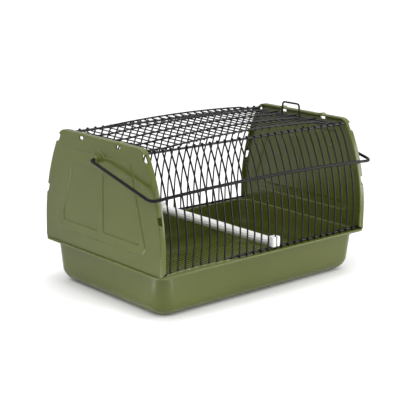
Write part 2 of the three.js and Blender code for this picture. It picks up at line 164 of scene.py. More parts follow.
def hand_over(piece, body, material, slot, *nodes):
    """Gives a finished piece its finish, parents it to the empty of the body it rides on and hides the CAD nodes it
    stands for.
    """
    piece.data.materials.clear()
    piece.data.materials.append(material)
    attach(piece, body)
    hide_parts(*nodes)
    return piece


def finished(name, shape, smooth_angle, body, material, slot, node):
    """Makes a closed piece, turns its faces outwards and hands it over."""
    piece = to_object(name, shape, smooth_angle)
    outward(piece)
    hand_over(piece, body, material, slot, node)


def arc_points(centre, u, v, radius, from_deg, to_deg, steps):
    """Points on an arc in the plane of the unit vectors u and v."""
    points = []
    for i in range(steps + 1):
        angle = math.radians(from_deg + (to_deg - from_deg) * i / steps)
        points.append(centre + u * radius * math.cos(angle) + v * radius * math.sin(angle))
    return points


def rounded(corners, radius, steps=8):
    """A polyline with its inner corners replaced by round bends."""
    path = [corners[0]]
    for before, corner, after in zip(corners, corners[1:], corners[2:]):
        inward = (before - corner).normalized()
        outward = (after - corner).normalized()
        half = inward.angle(outward) / 2
        run = radius / math.tan(half)
        start = corner + inward * run
        centre = corner + (inward + outward).normalized() * radius / math.sin(half)
        sweep = 180 - math.degrees(2 * half)
        path.extend(arc_points(centre, (start - centre).normalized(), -inward, radius, 0, sweep, steps))
    path.append(corners[-1])
    return path


def sweep(path, radius, sides=12, dome=3):
    """A round wire along a list of points, closed with domed ends. radius is a number or one for each point."""
    path = [Vector(p) for p in path]
    radii = list(radius) if hasattr(radius, "__len__") else [radius] * len(path)
    tangents = []
    for i in range(len(path)):
        before, after = path[max(i - 1, 0)], path[min(i + 1, len(path) - 1)]
        tangents.append((after - before).normalized())
    normal = tangents[0].orthogonal().normalized()
    rings = []
    for i, (point, tangent) in enumerate(zip(path, tangents)):
        normal = (normal - tangent * normal.dot(tangent)).normalized()
        rings.append((point, tangent, normal, radii[i]))
    first, last = rings[0], rings[-1]
    caps = [math.pi / 2 * k / (dome + 1) for k in range(dome, 0, -1)]
    head = [(first[0] - first[1] * first[3] * math.sin(a), first[1], first[2], first[3] * math.cos(a)) for a in caps]
    tail = [(last[0] + last[1] * last[3] * math.sin(a), last[1], last[2], last[3] * math.cos(a))
            for a in reversed(caps)]
    rings = head + rings + tail
    points, faces = [first[0] - first[1] * first[3]], []
    for point, tangent, normal, size in rings:
        side = tangent.cross(normal)
        for k in range(sides):
            angle = 2 * math.pi * k / sides
            points.append(point + (normal * math.cos(angle) + side * math.sin(angle)) * size)
    points.append(last[0] + last[1] * last[3])
    end = len(points) - 1
    for k in range(sides):
        after = (k + 1) % sides
        faces.append([0, 1 + after, 1 + k])
        for ring in range(len(rings) - 1):
            a = 1 + ring * sides
            b = a + sides
            faces.append([a + k, a + after, b + after, b + k])
        a = 1 + (len(rings) - 1) * sides
        faces.append([a + k, a + after, end])
    return Shape().add(points, faces)


def welded(points, radius, welds, swell=0.28, reach=1.6):
    """Radii along a path that thicken where the wire is welded to another, under its coating."""
    radii = []
    for point in points:
        near = min((point - weld).length for weld in welds) if welds else reach
        fade = max(0.0, 1 - near / reach)
        radii.append(radius * (1 + swell * fade * fade * (3 - 2 * fade)))
    return radii


def lathe(profile, axis_point, axis, sides):
    """Turns a closed profile of (radius, distance along the axis) round an axis into a ring-shaped shell."""
    u = axis.orthogonal().normalized()
    v = axis.cross(u)
    points, faces = [], []
    for k in range(sides):
        angle = 2 * math.pi * k / sides
        out = u * math.cos(angle) + v * math.sin(angle)
        points.extend(axis_point + out * r + axis * d for r, d in profile)
    count = len(profile)
    for k in range(sides):
        a, b = k * count, ((k + 1) % sides) * count
        for i in range(count):
            j = (i + 1) % count
            faces.append([a + i, b + i, b + j, a + j])
    return Shape().add(points, faces)


def between(near, far):
    """The closed shell between two outlines with the same number of points."""
    count = len(near)
    faces = [[i, (i + 1) % count, count + (i + 1) % count, count + i] for i in range(count)]
    return Shape().add(near + far, faces + [list(range(count))[::-1], list(range(count, 2 * count))])


def combine(piece, tool_shape, operation):
    """Cuts or joins with a tool whose faces are first turned outwards."""
    tool = to_object("tool", tool_shape)
    outward(tool)
    modifier = piece.modifiers.new("cut", "BOOLEAN")
    modifier.operation = operation
    modifier.solver = "MANIFOLD"
    modifier.object = tool
    settle(piece)
    bpy.data.objects.remove(tool)


def settle(piece):
    """Applies a piece's modifiers to its mesh."""
    depsgraph = bpy.context.evaluated_depsgraph_get()
    depsgraph.update()
    mesh = bpy.data.meshes.new_from_object(piece.evaluated_get(depsgraph))
    piece.modifiers.clear()
    old = piece.data
    piece.data = mesh
    bpy.data.meshes.remove(old)


def soften_edges(piece, width, angle=50.0, segments=2):
    """Rounds a piece's sharp edges."""
    modifier = piece.modifiers.new("soften", "BEVEL")
    modifier.width = width * MM
    modifier.segments = segments
    modifier.limit_method = "ANGLE"
    modifier.angle_limit = math.radians(angle)
    settle(piece)


def outward(piece):
    """Turns every face of a closed mesh outwards."""
    work = bmesh.new()
    work.from_mesh(piece.data)
    bmesh.ops.recalc_face_normals(work, faces=work.faces)
    work.to_mesh(piece.data)
    work.free()


# ---- materials ---------------------------------------------------------------------------------
class Nodes:
    """A short way to write a material's node tree."""

    def __init__(self, name):
        self.material = bpy.data.materials.new(name)
        self.material.use_nodes = True
        self.tree = self.material.node_tree
        self.shader = next(n for n in self.tree.nodes if n.type == "BSDF_PRINCIPLED")
        self.place = self.add("ShaderNodeTexCoord").outputs["Object"]

    def add(self, kind, **settings):
        node = self.tree.nodes.new(kind)
        for key, value in settings.items():
            setattr(node, key, value)
        return node

    def link(self, source, target):
        self.tree.links.new(source, target)

    def noise(self, scale, detail=3.0, roughness=0.55, stretch=None):
        node = self.add("ShaderNodeTexNoise")
        node.inputs["Scale"].default_value = scale
        node.inputs["Detail"].default_value = detail
        node.inputs["Roughness"].default_value = roughness
        place = self.place
        if stretch:
            mapping = self.add("ShaderNodeMapping")
            mapping.inputs["Scale"].default_value = stretch
            self.link(place, mapping.inputs["Vector"])
            place = mapping.outputs["Vector"]
        self.link(place, node.inputs["Vector"])
        return node.outputs["Fac"]

    def ramp(self, source, stops):
        node = self.add("ShaderNodeValToRGB")
        while len(node.color_ramp.elements) < len(stops):
            node.color_ramp.elements.new(0.5)
        for element, (place, value) in zip(node.color_ramp.elements, stops):
            element.position = place
            element.color = (*value, 1.0) if hasattr(value, "__len__") else (value, value, value, 1.0)
        self.link(source, node.inputs["Fac"])
        return node.outputs["Color"]

    def mix(self, factor, a, b, blend="MIX"):
        node = self.add("ShaderNodeMix", data_type="RGBA", blend_type=blend)
        for socket, value in ((node.inputs[0], factor), (node.inputs[6], a), (node.inputs[7], b)):
            if isinstance(value, bpy.types.NodeSocket):
                self.link(value, socket)
            elif hasattr(value, "__len__"):
                socket.default_value = (*value, 1.0)
            else:
                socket.default_value = value
        return node.outputs[2]

    def span(self, source, low, high):
        node = self.add("ShaderNodeMapRange")
        node.inputs["To Min"].default_value = low
        node.inputs["To Max"].default_value = high
        self.link(source, node.inputs["Value"])
        return node.outputs["Result"]

    def bump(self, height, strength, distance, before=None):
        node = self.add("ShaderNodeBump")
        node.inputs["Strength"].default_value = strength
        node.inputs["Distance"].default_value = distance
        self.link(height, node.inputs["Height"])
        if before is not None:
            self.link(before, node.inputs["Normal"])
        return node.outputs["Normal"]


OLIVE = (0.074, 0.089, 0.017)
OLIVE_WARM = (0.080, 0.089, 0.017)
OLIVE_DEEP = (0.066, 0.081, 0.015)
# a lighter olive, painted onto convex edges as a highlight
OLIVE_EDGE_HIGHLIGHT = (0.150, 0.175, 0.065)
BLACK = (0.005, 0.005, 0.005)
BLACK_WORN = (0.014, 0.014, 0.014)
WHITE = (0.73, 0.73, 0.715)
# the duller white of the random clouds, also painted into the hollows as shade
WHITE_DULL_AND_SHADE = (0.62, 0.62, 0.60)


def olive_plastic():
    """Injection-moulded polypropylene: soft flow clouds and streaks, a fine grain, and convex edges painted lighter
    as a highlight.
    """
    m = Nodes("olive_plastic")
    clouds = m.ramp(m.noise(14.0, 4.0), [(0.30, OLIVE_DEEP), (0.50, OLIVE), (0.72, OLIVE_WARM)])
    streaks = m.noise(30.0, 3.0, 0.6, stretch=(3.0, 3.0, 0.35))
    colour = m.mix(m.span(streaks, 0.0, 0.22), clouds, OLIVE_DEEP)
    fine = m.noise(420.0, 2.0)
    colour = m.mix(m.span(fine, 0.0, 0.12), colour, OLIVE_WARM)
    # painted highlight: convex edges, picked out by pointiness, are mixed towards the lighter olive
    edges = m.ramp(m.add("ShaderNodeNewGeometry").outputs["Pointiness"], [(0.515, 0.0), (0.60, 1.0)])
    colour = m.mix(m.mix(1.0, edges, (0.45, 0.45, 0.45), "MULTIPLY"), colour, OLIVE_EDGE_HIGHLIGHT)
    m.link(colour, m.shader.inputs["Base Color"])
    haze = m.noise(22.0, 5.0, 0.62)
    m.link(m.span(haze, 0.14, 0.27), m.shader.inputs["Roughness"])
    grain = m.bump(m.noise(1500.0, 2.0), 0.16, 0.00012)
    waves = m.bump(m.noise(26.0, 2.0), 0.12, 0.0012, before=grain)
    m.link(waves, m.shader.inputs["Normal"])
    m.shader.inputs["IOR"].default_value = 1.49
    m.shader.inputs["Specular IOR Level"].default_value = 0.30
    return m.material


def black_wire(name, shine):
    """Steel wire under black powder coat: orange peel, small bare-looking scuffs and a soft shine."""
    m = Nodes(name)
    scuffs = m.ramp(m.noise(260.0, 4.0, 0.65), [(0.58, 0.0), (0.74, 1.0)])
    colour = m.mix(m.mix(1.0, scuffs, (0.5, 0.5, 0.5), "MULTIPLY"), BLACK, BLACK_WORN)
    m.link(colour, m.shader.inputs["Base Color"])
    m.link(m.span(m.noise(90.0, 3.0), 0.18, 0.30), m.shader.inputs["Roughness"])
    m.link(m.bump(m.noise(1400.0, 2.0), 0.25, 0.00010), m.shader.inputs["Normal"])
    m.shader.inputs["IOR"].default_value = 1.5
    m.shader.inputs["Specular IOR Level"].default_value = shine
    return m.material


def white_plastic():
    """White moulded plastic with random duller clouds, and painted shade that dulls its hollows."""
    m = Nodes("white_plastic")
    clouds = m.ramp(m.noise(60.0, 4.0), [(0.35, WHITE_DULL_AND_SHADE), (0.60, WHITE)])
    # painted shade: hollows, picked out by pointiness, are mixed towards the duller white
    hollow_shade = m.ramp(m.add("ShaderNodeNewGeometry").outputs["Pointiness"], [(0.42, 1.0), (0.50, 0.0)])
    colour = m.mix(m.mix(1.0, hollow_shade, (0.4, 0.4, 0.4), "MULTIPLY"), clouds, WHITE_DULL_AND_SHADE)
    m.link(colour, m.shader.inputs["Base Color"])
    m.link(m.span(m.noise(120.0, 3.0), 0.36, 0.50), m.shader.inputs["Roughness"])
    m.link(m.bump(m.noise(1300.0, 2.0), 0.15, 0.00010), m.shader.inputs["Normal"])
    m.shader.inputs["Subsurface Weight"].default_value = 0.08
    m.shader.inputs["Subsurface Radius"].default_value = (0.002, 0.002, 0.002)
    m.shader.inputs["Subsurface Scale"].default_value = 1.0
    return m.material


OLIVE_PLASTIC = olive_plastic()
BLACK_WIRE = black_wire("black_wire", 0.22)
BLACK_BAIL = black_wire("black_bail", 0.10)
WHITE_PLASTIC = white_plastic()


# ---- tray --------------------------------------------------------------------------------------
LONG_SIDE_STEPS = 232
SHORT_SIDE_STEPS = 48
CORNER_STEPS = 12
LIP_INSET = 2.0
LEDGE_RISE = 1.9
CHANNEL_DEPTH = 0.5
CHANNEL_DROP = 1.1
SCALLOP = 0.8


def ledge(x):
    """How far the toothed ledge in front of the front bars has risen at x: full on the left, gone by the middle."""
    left = min(max((x + 142.5) / 2.0, 0.0), 1.0)
    right = min(max((-38.0 - x) / 26.0, 0.0), 1.0)
    return left * right * right * (3 - 2 * right)


def tuck(x):
    """How far inwards the front bars' feet are pressed behind that ledge."""
    return 0.8 + 2.1 * math.exp(-((x + 103.0) / 24.0) ** 2)


def ring(half_x, half_y, radius, z, wave=0.0, follow=0.0, lift=0.0):
    """A rounded rectangle, counter-clockwise. wave pulls its long sides in and out between the bars. On the
    front side follow moves it inwards with the bars' feet, and lift raises it where the ledge has risen."""
    corners = ((1, 1, 0), (-1, 1, 90), (-1, -1, 180), (1, -1, 270))
    points = []
    for number, (sign_x, sign_y, start) in enumerate(corners):
        centre = Vector((sign_x * (half_x - radius), sign_y * (half_y - radius), z))
        corner = arc_points(centre, X, Y, radius, start, start + 90, CORNER_STEPS)
        points.extend(corner)
        steps = SHORT_SIDE_STEPS if number % 2 else LONG_SIDE_STEPS
        following = corners[(number + 1) % 4]
        target_centre = Vector((following[0] * (half_x - radius), following[1] * (half_y - radius), z))
        target = arc_points(target_centre, X, Y, radius, following[2], following[2] + 90, 1)[0]
        points.extend(corner[-1].lerp(target, k / steps) for k in range(1, steps))
    for point in points:
        on_long_side = abs(abs(point.y) - half_y) < 0.01
        if wave and on_long_side and abs(point.x) < (BARS / 2) * BAR_PITCH:
            point.y -= math.copysign(wave * (0.5 - 0.5 * math.cos(2 * math.pi * point.x / BAR_PITCH)), point.y)
        if on_long_side and point.y < 0:
            point.y += follow * tuck(point.x) * min(max((142.0 - abs(point.x)) / 12.0, 0.0), 1.0)
            point.z += lift * ledge(point.x)
    return points


def loft(rings):
    """Skins a list of rings, closed with a fan in the middle of the first and last one."""
    count = len(rings[0])
    points = [Vector((0, 0, rings[0][0].z))]
    for loop in rings:
        points.extend(loop)
    points.append(Vector((0, 0, rings[-1][0].z)))
    faces = []
    for i in range(count):
        j = (i + 1) % count
        faces.append([0, 1 + j, 1 + i])
        for k in range(len(rings) - 1):
            a = 1 + k * count
            faces.append([a + i, a + j, a + count + j, a + count + i])
        a = 1 + (len(rings) - 1) * count
        faces.append([a + i, a + j, len(points) - 1])
    return Shape().add(points, faces)


def tray_wall(z, inset):
    """Half sizes and corner radius of the tray's wall at a height."""
    lean = TRAY_TOP_INSET + TRAY_TAPER * (1 - z / RIM_Z) + inset
    return RIM_HALF_X - lean, RIM_HALF_Y - lean, TRAY_CORNER - inset


def tray_fillet(floor_z, inset, radius, steps=14):
    """The round from the floor up to the wall."""
    rings = []
    for i in range(steps + 1):
        angle = math.pi / 2 * (1 - i / steps)
        z = floor_z + radius * (1 - math.sin(angle))
        pull = radius * (1 - math.cos(angle))
        half_x, half_y, corner = tray_wall(z, inset)
        rings.append((half_x - pull, half_y - pull, max(corner - pull * 0.6, 4.0), z))
    return rings


def rim(inset, z):
    return RIM_HALF_X - inset, RIM_HALF_Y - inset, RIM_CORNER - inset, z


def tray_shell():
    skirt_z = RIM_Z - RIM_DROP
    under_z = RIM_Z - RIM_THICK
    outside = tray_fillet(0.0, 0.0, TRAY_FILLET)
    stand = outside[0]
    rows = [(stand[0] - by, stand[1] - by, max(stand[2] - by / 2, 3.0), z) for by, z in (
        (60.0, FOOT_RISE), (20.0, FOOT_RISE), (FOOT_WIDTH + 1.6, FOOT_RISE), (FOOT_WIDTH + 1.0, FOOT_RISE - 0.15),
        (FOOT_WIDTH + 0.3, 0.12), (FOOT_WIDTH, 0.0))]
    rows += outside
    rows += [(*tray_wall(z, 0.0), z) for z in (20.0, 28.0, 36.0, 42.0, under_z - 2.6)]
    for angle in (0, 30, 60, 90):
        turn = math.radians(angle)
        flare = 1.6 * (1 - math.cos(turn))
        z = under_z - 1.6 + 1.6 * math.sin(turn)
        half_x, half_y, corner = tray_wall(z, 0.0)
        rows.append((half_x + flare, half_y + flare, corner + flare, z))
    rows += [rim(1.7, under_z), rim(1.5, under_z - 0.2), rim(1.3, skirt_z), rim(0.45, skirt_z),
             rim(0.15, skirt_z + 0.15), rim(0.0, skirt_z + 0.45), rim(0.0, RIM_Z - 0.8)]
    for angle in (22, 45, 67, 90):
        turn = math.radians(angle)
        rows.append(rim(0.8 * (1 - math.cos(turn)), RIM_Z - 0.8 + 0.8 * math.sin(turn)))
    rings = [ring(*row) for row in rows]
    rings.append(ring(*rim(LIP_INSET - 1.0, RIM_Z), follow=1.0))
    for inset, rise, lift in ((-0.5, 0.0, 0.5), (-0.3, 0.0, 1.2), (0.0, 0.0, 1.7), (0.3, 0.0, LEDGE_RISE),
                              (0.6, 0.0, LEDGE_RISE), (0.85, -0.1, LEDGE_RISE - 0.1), (1.0, -0.3, LEDGE_RISE - 0.4)):
        rings.append(ring(*rim(LIP_INSET + inset, RIM_Z + rise), wave=SCALLOP, follow=1.0, lift=lift))
    rings.append(ring(*rim(LIP_INSET + 1.15, RIM_Z - CHANNEL_DEPTH), wave=SCALLOP, follow=1.0, lift=-CHANNEL_DROP))
    channel_z = RIM_Z - CHANNEL_DEPTH
    for angle in (90, 67, 45, 22, 0):
        turn = math.radians(angle)
        z = channel_z - 1.0 + 1.0 * math.sin(turn)
        half_x, half_y, corner = tray_wall(z, TRAY_WALL)
        pull = 1.0 * (1 - math.cos(turn))
        rings.append(ring(half_x + pull, half_y + pull, corner + pull, z, lift=-CHANNEL_DROP))
    fill_line = 20.0
    rows = [(*tray_wall(z, TRAY_WALL + inset), z) for z, inset in (
        (40.0, 0), (30.0, 0), (fill_line + 0.5, 0), (fill_line, 0.25), (fill_line - 0.4, 0.3))]
    rows += reversed(tray_fillet(TRAY_WALL, TRAY_WALL + 0.3, TRAY_FILLET - TRAY_WALL))
    last = rows[-1]
    rows += [(last[0] - 20, last[1] - 20, 4.0, TRAY_WALL), (last[0] - 60, last[1] - 60, 3.0, TRAY_WALL)]
    return loft(rings + [ring(*row) for row in rows])


def floor_details():
    """Low ribs along the floor, a ring that locates a cup, and the round marks of the mould's pins."""
    details = Shape()
    ribs, rib_pitch, rib_half, rib_radius = 45, 5.2, 64.0, 1.1
    pin_radius, pin_rise, pin_steps = 2.6, 0.9, 24
    for i in range(ribs):
        x = (i - (ribs - 1) / 2) * rib_pitch
        path = [Vector((x, -rib_half + 2 * rib_half * k / 4, TRAY_WALL - 0.2)) for k in range(5)]
        details.merge(sweep(path, rib_radius, sides=10, dome=3))
    cup = Vector((108.0, 62.0, TRAY_WALL - 0.3))
    for radius in (15.0, 10.5):
        section = [(radius + 0.9 * math.cos(a), 1.0 * math.sin(a)) for a in (2 * math.pi * k / 10 for k in range(10))]
        details.merge(lathe(section, cup, Z, sides=56))
    for x, y in ((38, 21), (-38, 21), (38, -21), (-38, -21), (0, 70), (0, -70)):
        dome = [(pin_radius * math.sin(a), pin_rise * math.cos(a))
                for a in (math.pi * k / pin_steps for k in range(pin_steps + 1))]
        path = [Vector((x, y, TRAY_WALL - 0.1 + d)) for r, d in reversed(dome)][1:-1]
        radii = [r for r, d in reversed(dome)][1:-1]
        details.merge(sweep(path, radii, sides=20, dome=1))
    return details


def make_tray():
    finished("base_tray_moulding", tray_shell().merge(floor_details()),
             42.0, "tray", OLIVE_PLASTIC, "olive_plastic", "base_tray")


# ---- end panels --------------------------------------------------------------------------------
LEAN_CENTRE_Y = PANEL_HALF_Y - LEAN_RADIUS
SHOULDER_UP = PANEL_HEIGHT - SHOULDER_RADIUS
SHOULDER_ANGLE = math.asin((SHOULDER_UP - LEAN_START) / (LEAN_RADIUS - SHOULDER_RADIUS))
SHOULDER_Y = LEAN_CENTRE_Y + (LEAN_RADIUS - SHOULDER_RADIUS) * math.cos(SHOULDER_ANGLE)
UPRIGHT_STEPS, LEAN_STEPS, SHOULDER_STEPS, TOP_STEPS = 30, 156, 16, 330
CORNER_ROUND = 4.0
PANEL_FOOT = RIM_Z + 0.05 - PANEL_Z

FIELD = [(74, 16), (80, 24), (51.5, 105.5), (-51.5, 105.5), (-76, 24), (-70, 16)]
WINDOW_BACK = [(4, 26), (64, 26), (64, 36), (46, 91), (4, 91)]
WINDOW_FRONT = [(-66, 26), (-6, 26), (-6, 89), (-47, 89), (-66, 36)]

# Openings of the moulded snap hooks as (y, height) outlines, each with its reach in from the outer face
SHOULDER_NOTCH = ([(70.2, 117.9), (69.4, 117.2), (69.3, 116.4), (71.6, 111.4), (72.4, 110.6), (80, 108.6),
                   (80, 120)], 3.4)
MIDDLE_NOTCH = ([(91.6, 60.0), (91.3, 59.2), (93.4, 52.6), (94.6, 51.2), (99, 50.4), (99, 60)], 4.6)
SNAP_HOLE = ([(35.1, 118.0), (34.4, 117.4), (28.6, 117.4), (27.9, 118.0), (27.9, 120.4), (28.6, 121.0),
              (34.4, 121.0), (35.1, 120.4)], 3.3)
FOOT_CORNER = ([(96.6, -1.0), (99.8, 3.0), (102, 3.0), (102, -1.0)], 9.0)
FOOT_WEDGE_Y = (-101.0, -95.0)
FOOT_WEDGE = ((1.4, -1.0), (1.4, -0.2), (8.0, 3.4), (8.0, -1.0))
SNAP_HOLE_Y = 31.5
SNAP_BUMP_RADIUS = 7.0
SNAP_BUMP_RISE = 1.3


def half_outline(inset):
    """One half of the panel's outline as (y, height), from the lower corner up to the flat top."""
    rise = (LEAN_START - PANEL_FOOT) / UPRIGHT_STEPS
    points = [(PANEL_HALF_Y - inset, PANEL_FOOT + rise * i) for i in range(UPRIGHT_STEPS)]
    for i in range(LEAN_STEPS):
        angle = SHOULDER_ANGLE * i / LEAN_STEPS
        reach = LEAN_RADIUS - inset
        points.append((LEAN_CENTRE_Y + reach * math.cos(angle), LEAN_START + reach * math.sin(angle)))
    for i in range(SHOULDER_STEPS + 1):
        angle = SHOULDER_ANGLE + (math.pi / 2 - SHOULDER_ANGLE) * i / SHOULDER_STEPS
        reach = SHOULDER_RADIUS - inset
        points.append((SHOULDER_Y + reach * math.cos(angle), SHOULDER_UP + reach * math.sin(angle)))
    return points


def perimeter(inset):
    """The outline from the lower back corner over the top to the lower front corner."""
    half = half_outline(inset)
    top = half[-1][1]
    across = [(SHOULDER_Y * (1 - 2 * k / TOP_STEPS), top) for k in range(1, TOP_STEPS)]
    return half + across + [(-y, up) for y, up in reversed(half)]


def inset_polygon(corners, amount):
    """A convex polygon with every side moved inwards."""
    area = sum(a[0] * b[1] - b[0] * a[1] for a, b in zip(corners, corners[1:] + corners[:1]))
    if area < 0:
        corners = corners[::-1]
    lines = []
    for (ax, ay), (bx, by) in zip(corners, corners[1:] + corners[:1]):
        length = math.hypot(bx - ax, by - ay)
        nx, ny = -(by - ay) / length, (bx - ax) / length
        lines.append((nx, ny, nx * ax + ny * ay + amount))
    moved = []
    for (a, b, c), (d, e, f) in zip(lines[-1:] + lines[:-1], lines):
        det = a * e - b * d
        moved.append(((c * e - b * f) / det, (a * f - c * d) / det))
    return moved


def polygon_distance(y, up, corners, corner_round):
    """Signed distance to a convex polygon with round corners, negative inside."""
    inner = inset_polygon(corners, corner_round)
    near = np.full(y.shape, 1e9)
    inside = np.ones(y.shape, bool)
    for (ax, ay), (bx, by) in zip(inner, inner[1:] + inner[:1]):
        dx, dy = bx - ax, by - ay
        along = np.clip(((y - ax) * dx + (up - ay) * dy) / (dx * dx + dy * dy), 0, 1)
        near = np.minimum(near, np.hypot(y - ax - along * dx, up - ay - along * dy))
        inside &= (dx * (up - ay) - dy * (y - ax)) >= 0
    return np.where(inside, -near, near) - corner_round


def smooth_step(distance, width):
    """1 well inside, 0 well outside, with a round-edged ramp of that width between."""
    t = np.clip(0.5 - distance / width, 0, 1)
    return t * t * (3 - 2 * t)


def panel_relief(y, up):
    """How far the panel's outer face stands out at each point."""
    field = polygon_distance(y, up, FIELD, CORNER_ROUND)
    disc = np.hypot(y, up - PIVOT_UP) - 9.6
    raised = smooth_step(np.minimum(field, disc), 0.8)
    for window in (WINDOW_BACK, WINDOW_FRONT):
        raised = raised - WINDOW_DEPTH / RELIEF * smooth_step(polygon_distance(y, up, window, 2.0), 0.8)
    around_boss = np.exp(-((np.hypot(y, up - PIVOT_UP) - 9.0) / 0.7) ** 2)
    return RELIEF * raised + 0.4 * around_boss


def face_grid(inset):
    """Points across the panel's face inside an outline, in rows from the bottom up."""
    half = np.array(half_outline(inset))
    across = np.linspace(1, -1, TOP_STEPS + 1)
    y = half[:, :1] * across[None, :]
    up = np.repeat(half[:, 1:], TOP_STEPS + 1, axis=1)
    return y, up


def panel_shell(side):
    """The moulding's closed skin. Depth runs inwards from the outer face."""
    edge, lip, root = 1.1, 0.6, 1.0
    rows = []
    for angle in (0, 18, 36, 54, 72, 90):
        turn = math.radians(angle)
        rows.append((edge * (1 - math.sin(turn)), edge * (1 - math.cos(turn))))
    rows += [(0.0, 2.5), (0.0, 4.5), (0.0, FLANGE_WIDTH - lip)]
    for angle in (30, 60, 90):
        turn = math.radians(angle)
        rows.append((lip * (1 - math.cos(turn)), FLANGE_WIDTH - lip + lip * math.sin(turn)))
    for angle in (0, 30, 60, 90):
        turn = math.radians(angle)
        rows.append((FLANGE_THICK - lip * (1 - math.sin(turn)), FLANGE_WIDTH - lip + lip * math.cos(turn)))
    rows += [(FLANGE_THICK, 4.5), (FLANGE_THICK, PANEL_THICK + root)]
    for angle in (30, 60, 90):
        turn = math.radians(angle)
        rows.append((FLANGE_THICK + root * (1 - math.cos(turn)), PANEL_THICK + root * (1 - math.sin(turn))))

    def place(y, up, depth):
        return Vector((side * (PANEL_FACE_X - depth), y, PANEL_Z + up))

    shape = Shape()
    strips = [[place(y, up, depth) for y, up in perimeter(inset)] for inset, depth in rows]
    count = len(strips[0])
    for strip in strips:
        shape.points.extend(strip)
    for k in range(len(strips) - 1):
        a, b = k * count, (k + 1) * count
        shape.faces.extend([a + i, a + i + 1, b + i + 1, b + i] for i in range(count - 1))

    half_count = len(half_outline(0.0))
    columns = TOP_STEPS + 1

    def add_face(row_number, inset, depth, facing):
        """Fills a face whose border points already belong to one of the strips."""
        y, up = face_grid(inset)
        depths = depth - facing * panel_relief(y, up)
        border = row_number * count
        index = [[None] * columns for _ in range(half_count)]
        for i in range(half_count):
            for j in range(columns):
                if j == 0:
                    index[i][j] = border + i
                elif j == columns - 1:
                    index[i][j] = border + count - 1 - i
                elif i == half_count - 1:
                    index[i][j] = border + half_count - 1 + j
                else:
                    index[i][j] = len(shape.points)
                    shape.points.append(place(y[i, j], up[i, j], depths[i, j]))
        for i in range(half_count - 1):
            for j in range(columns - 1):
                face = [index[i][j], index[i][j + 1], index[i + 1][j + 1], index[i + 1][j]]
                shape.faces.append(face if facing > 0 else face[::-1])
        return index[0]

    outer_foot = add_face(0, rows[0][0], rows[0][1], 1)
    inner_foot = add_face(len(rows) - 1, rows[-1][0], rows[-1][1], 1)
    for j in range(columns - 1):
        shape.faces.append([outer_foot[j], outer_foot[j + 1], inner_foot[j + 1], inner_foot[j]])
    shape.faces.append([k * count for k in range(len(rows))])
    shape.faces.append([k * count + count - 1 for k in reversed(range(len(rows)))])
    return shape


def boss_ring(side):
    """The pivot boss with a flared root, a rounded end and its bore."""
    pivot = Vector((side * PANEL_FACE_X, 0, PANEL_Z + PIVOT_UP))
    flare = 1.6
    profile = [(BOSS_BORE, -0.6), (BOSS_BORE, BOSS_LENGTH - 0.5), (BOSS_BORE + 0.5, BOSS_LENGTH)]
    profile += [(BOSS_RADIUS - 0.7, BOSS_LENGTH), (BOSS_RADIUS - 0.2, BOSS_LENGTH - 0.2),
                (BOSS_RADIUS, BOSS_LENGTH - 0.7)]
    for angle in (0, 22, 45, 67, 90):
        turn = math.radians(angle)
        profile.append((BOSS_RADIUS + 0.1 + flare * (1 - math.cos(turn)),
                        RELIEF + flare * (1 - math.sin(turn)) - 0.05))
    profile.append((BOSS_RADIUS + flare, -0.6))
    return lathe(profile, pivot, X * side, sides=56)


def prism(side, near, far, outline):
    """A cutter with a (y, height) outline and a depth range on a panel."""
    return between(*([Vector((side * (PANEL_FACE_X - depth), y, PANEL_Z + up)) for y, up in outline]
                     for depth in (near, far)))


def snap_cutters(side):
    cutters = Shape()
    for end in (FRONT, BACK):
        for outline, reach in (SHOULDER_NOTCH, MIDDLE_NOTCH, SNAP_HOLE):
            cutters.merge(prism(side, -1.5, reach, [(end * y, up) for y, up in outline]))
    outline, reach = FOOT_CORNER
    return cutters.merge(prism(side, -1.5, reach, outline))


def foot_wedge(side):
    """The slanting gap that lifts the front flange's lower end off the rim."""
    return between(*([Vector((side * (PANEL_FACE_X - depth), y, PANEL_Z + up)) for depth, up in FOOT_WEDGE]
                     for y in FOOT_WEDGE_Y))


def snap_bumps(side):
    """The low rounds over the holes along the top edge."""
    bumps = Shape()
    for end in (FRONT, BACK):
        centre_up = PANEL_HEIGHT + SNAP_BUMP_RISE - SNAP_BUMP_RADIUS
        base_up = PANEL_HEIGHT - 0.6
        half = math.degrees(math.acos((base_up - centre_up) / SNAP_BUMP_RADIUS))
        section = []
        for k in range(13):
            angle = math.radians(90 - half + 2 * half * k / 12)
            section.append((end * SNAP_HOLE_Y + SNAP_BUMP_RADIUS * math.cos(angle),
                            centre_up + SNAP_BUMP_RADIUS * math.sin(angle)))
        bumps.merge(prism(side, 0.5, FLANGE_WIDTH - 0.4, section))
    return bumps


def make_panel(name, side, node):
    panel = to_object(name, panel_shell(side))
    outward(panel)
    combine(panel, boss_ring(side), "UNION")
    combine(panel, snap_bumps(side), "UNION")
    combine(panel, snap_cutters(side), "DIFFERENCE")
    combine(panel, foot_wedge(side), "DIFFERENCE")
    combine(panel, bore_cutter(side), "DIFFERENCE")
    shade(panel, 32.0)
    hand_over(panel, "cage", OLIVE_PLASTIC, "olive_plastic", node)


def bore_cutter(side):
    pivot_z = PANEL_Z + PIVOT_UP
    path = [Vector((side * (PANEL_FACE_X - d), 0, pivot_z)) for d in (6.0, 3.0, 0.0, -3.0, -BOSS_LENGTH - 2)]
    return sweep(path, BOSS_BORE, sides=32, dome=1)


# ---- wire cage ---------------------------------------------------------------------------------
def lean_point(inset, angle):
    reach = LEAN_RADIUS - inset
    return LEAN_CENTRE_Y + reach * math.cos(angle), PANEL_Z + LEAN_START + reach * math.sin(angle)


BAR_TOP_Y, BAR_TOP_Z = lean_point(BAR_INSET, SHOULDER_ANGLE)
RAIL_Y, RAIL_Z = BAR_TOP_Y - 0.6, BAR_TOP_Z + 2.0
RAIL_HALF_X = grille_high.x
BASE_WIRE_Y = (base_wire_low.y + base_wire_high.y) / 2
BASE_WIRE_Z = (base_wire_low.z + base_wire_high.z) / 2
BASE_WIRE_HALF_X = base_wire_high.x


